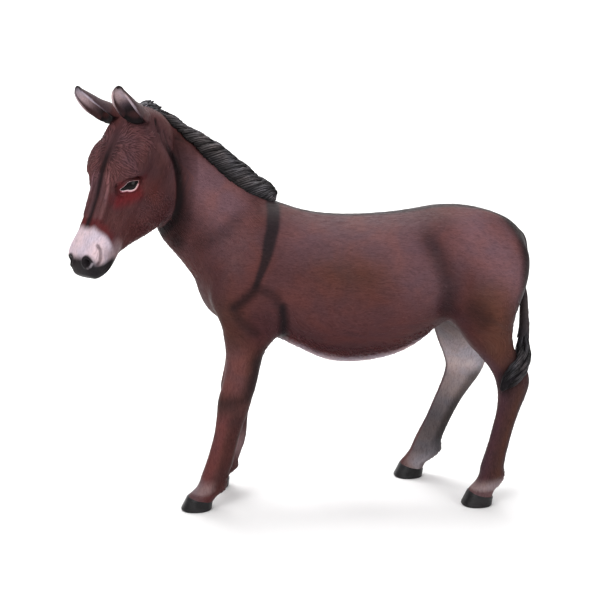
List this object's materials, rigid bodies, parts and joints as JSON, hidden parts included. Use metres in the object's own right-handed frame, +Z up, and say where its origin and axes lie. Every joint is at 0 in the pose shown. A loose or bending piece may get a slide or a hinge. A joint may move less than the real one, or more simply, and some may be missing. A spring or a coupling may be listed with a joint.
{
  "type": "donkey statue",
  "caption": "Life-size statue of a standing donkey in painted resin, head turned to its left, for display on a level floor.",
  "frame": {"origin": "on the floor under the middle of the whole statue", "axes": "+Z up, the donkey faces -X, its left side is -Y; its head is turned 45 degrees to its left"},
  "size_m": [1.4906, 0.5306, 1.3781],
  "materials": {
    "body_paint": "satin reddish-brown paint over cast resin, airbrushed darker in the folds",
    "mane_paint": "satin black paint over carved locks",
    "hoof_paint": "satin black paint",
    "eye_gloss": "gloss black enamel"
  },
  "bodies": {
    "root": {"trunk": "body_paint", "head": "body_paint", "neck": "body_paint", "mane": "mane_paint", "tail": "body_paint", "tail_switch": "mane_paint", "eye_left": "eye_gloss", "eye_right": "eye_gloss", "ear_left": "body_paint", "ear_right": "body_paint", "forearm_fore_left": "body_paint", "cannon_fore_left": "body_paint", "hoof_fore_left": "hoof_paint", "forearm_fore_right": "body_paint", "cannon_fore_right": "body_paint", "hoof_fore_right": "hoof_paint", "gaskin_hind_left": "body_paint", "cannon_hind_left": "body_paint", "hoof_hind_left": "hoof_paint", "gaskin_hind_right": "body_paint", "cannon_hind_right": "body_paint", "hoof_hind_right": "hoof_paint"}
  },
  "joints": []
}
